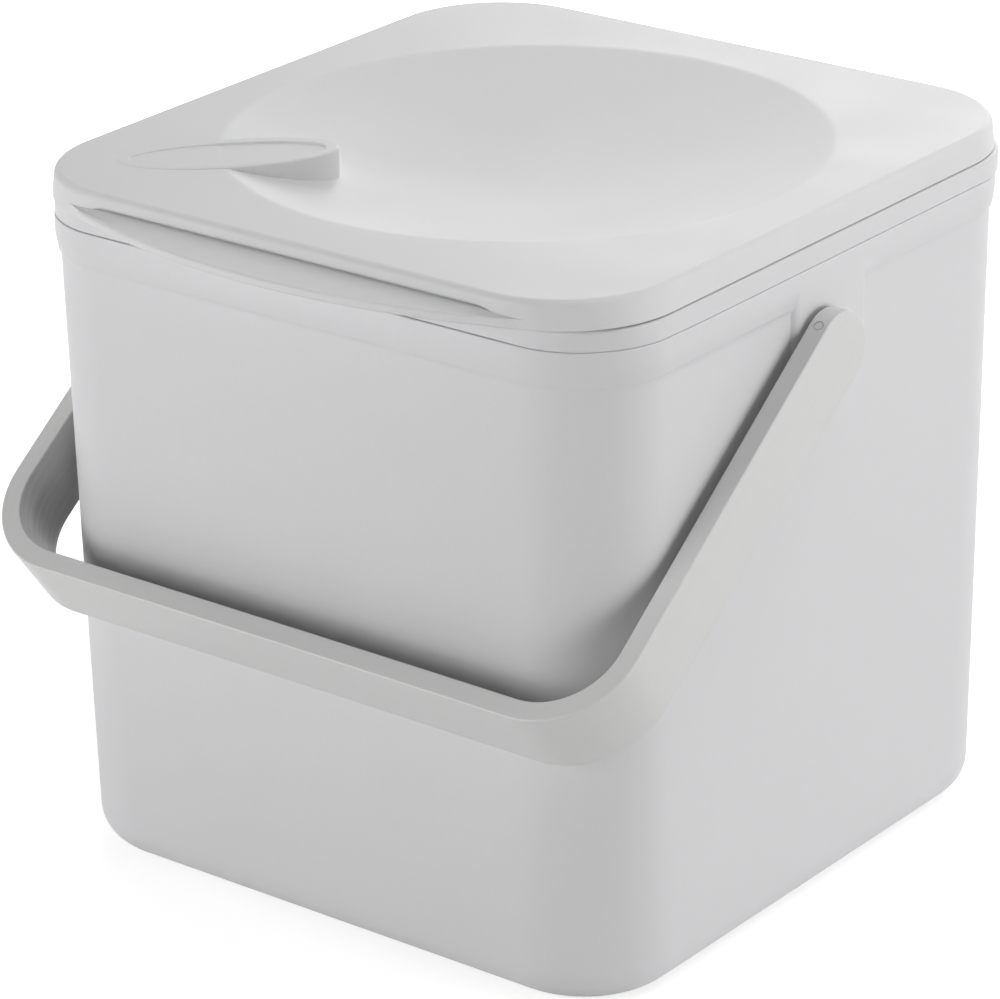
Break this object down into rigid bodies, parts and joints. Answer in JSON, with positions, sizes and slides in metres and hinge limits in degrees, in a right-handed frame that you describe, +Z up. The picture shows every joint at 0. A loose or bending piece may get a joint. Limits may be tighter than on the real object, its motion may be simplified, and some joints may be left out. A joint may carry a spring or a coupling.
{
  "type": "compost caddy with hinged lid",
  "caption": "Square kitchen scraps caddy with a lift-off liner collar, a dished lid hinged at the back with a front finger tab, and a swinging carry handle.",
  "frame": {"origin": "middle of the face that the tub stands on", "axes": "+X to the right along the front, +Y from the finger tab at the front to the hinge at the back, +Z up"},
  "size_m": [0.204, 0.2219, 0.1933],
  "materials": {
    "tub_plastic": "fine satin moulded polypropylene, light grey",
    "collar_plastic": "fine satin moulded polypropylene, light grey",
    "lid_plastic": "fine satin moulded polypropylene, light grey",
    "pin_plastic": "smooth moulded acetal, mid grey",
    "handle_plastic": "satin moulded polypropylene, slightly darker warm grey"
  },
  "bodies": {
    "tub": {"tub": "tub_plastic"},
    "collar": {"liner_collar": "collar_plastic", "hinge_pin_left": "pin_plastic", "hinge_pin_right": "pin_plastic"},
    "lid": {"lid": "lid_plastic"},
    "handle": {"handle": "handle_plastic"}
  },
  "joints": [
    {"name": "collar_lift", "type": "slide", "parent": "tub", "child": "collar", "axis": [0, 0, 1], "range_m": [0, 0.02]},
    {"name": "lid_hinge", "type": "hinge", "parent": "collar", "child": "lid", "pos_m": [0, 0.099, 0.1816], "axis": [-1, 0, 0], "range_deg": [0, 105]},
    {"name": "handle_swing", "type": "hinge", "parent": "tub", "child": "handle", "pos_m": [0, -0.0048, 0.1568], "axis": [-1, 0, 0], "range_deg": [0, 247]}
  ]
}
